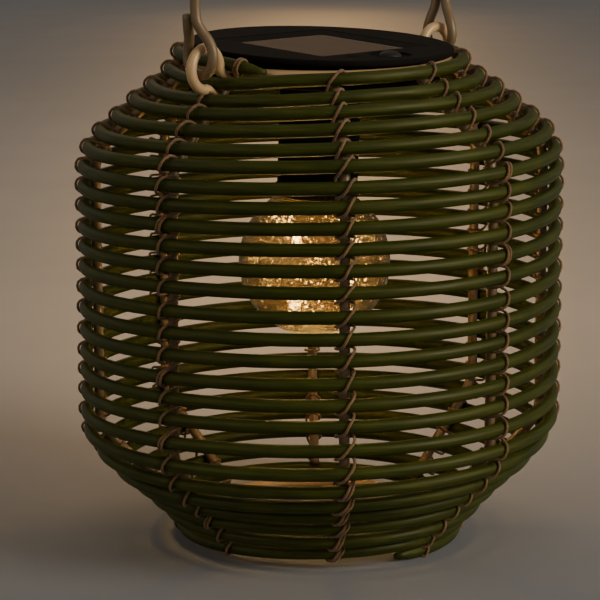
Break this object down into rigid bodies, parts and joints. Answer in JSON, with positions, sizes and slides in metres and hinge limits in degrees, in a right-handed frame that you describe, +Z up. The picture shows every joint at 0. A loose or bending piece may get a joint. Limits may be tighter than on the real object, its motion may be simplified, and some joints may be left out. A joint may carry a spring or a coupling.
{
  "type": "solar cane lantern",
  "caption": "Barrel-shaped cane lantern: cane wound round a wire cage, wire bail handle, and a lift-out solar lamp that hangs a lit globe bulb inside.",
  "frame": {"origin": "on the ground, under the centre of the cage", "axes": "+Z up, the front of the picture is -Y, the switch button is at the front right (+X, -Y)"},
  "size_m": [0.2428, 0.2424, 0.4546],
  "materials": {
    "cane": "stained olive green, satin lacquer",
    "wire": "cream powder coat",
    "twine": "twisted brown twine",
    "shell": "matt charcoal",
    "button": "matt",
    "switch": "matt",
    "cell": "dark silicon under resin",
    "window": "clear, glossy",
    "board": "green solder mask",
    "battery": "shrink sleeve",
    "globe": "clear, crackled inside",
    "led_wire": "lacquered copper wire"
  },
  "bodies": {
    "lantern": {"cane_turn_01": "cane", "cane_turn_02": "cane", "cane_turn_03": "cane", "cane_turn_04": "cane", "cane_turn_05": "cane", "cane_turn_06": "cane", "cane_turn_07": "cane", "cane_turn_08": "cane", "cane_turn_09": "cane", "cane_turn_10": "cane", "cane_turn_11": "cane", "cane_turn_12": "cane", "cane_turn_13": "cane", "cane_turn_14": "cane", "cane_turn_15": "cane", "cane_turn_16": "cane", "cane_turn_17": "cane", "cane_turn_18": "cane", "cane_turn_19": "cane", "cane_turn_20": "cane", "cane_turn_21": "cane", "cane_turn_22": "cane", "cane_turn_23": "cane", "cane_turn_24": "cane", "cane_turn_25": "cane", "cane_turn_26": "cane", "cane_turn_27": "cane", "frame_top_ring": "wire", "frame_base_ring": "wire", "rib_front": "wire", "rib_front_right": "wire", "rib_right": "wire", "rib_rear_right": "wire", "rib_rear": "wire", "rib_rear_left": "wire", "rib_left": "wire", "rib_front_left": "wire", "handle_loop_left": "wire", "handle_loop_right": "wire", "lashing_front": "twine", "lashing_front_right": "twine", "lashing_right": "twine", "lashing_rear_right": "twine", "lashing_rear": "twine", "lashing_rear_left": "twine", "lashing_left": "twine", "lashing_front_left": "twine"},
    "bail": {"bail_handle": "wire"},
    "lamp": {"lamp_cover": "shell", "solar_cell": "cell", "panel_window": "window", "tact_switch": "switch", "circuit_board": "board", "lamp_base": "shell", "battery_housing": "shell", "battery": "battery", "bulb_collar": "shell", "bulb_globe": "globe", "led_wire": "led_wire"},
    "button": {"switch_button": "button"}
  },
  "joints": [
    {"name": "bail_swing", "type": "hinge", "parent": "lantern", "child": "bail", "pos_m": [0.00316, -0.0025, 0.25016], "axis": [0.6725, 0.7401, 0], "range_deg": [-100, 100]},
    {"name": "lamp_lift", "type": "slide", "parent": "lantern", "child": "lamp", "axis": [0, 0, 1], "range_m": [0, 0.15]},
    {"name": "button_press", "type": "slide", "parent": "lamp", "child": "button", "axis": [-0.0331, 0.0401, -0.9986], "range_m": [0, 0.0015], "stiffness_N_per_m": 600}
  ]
}
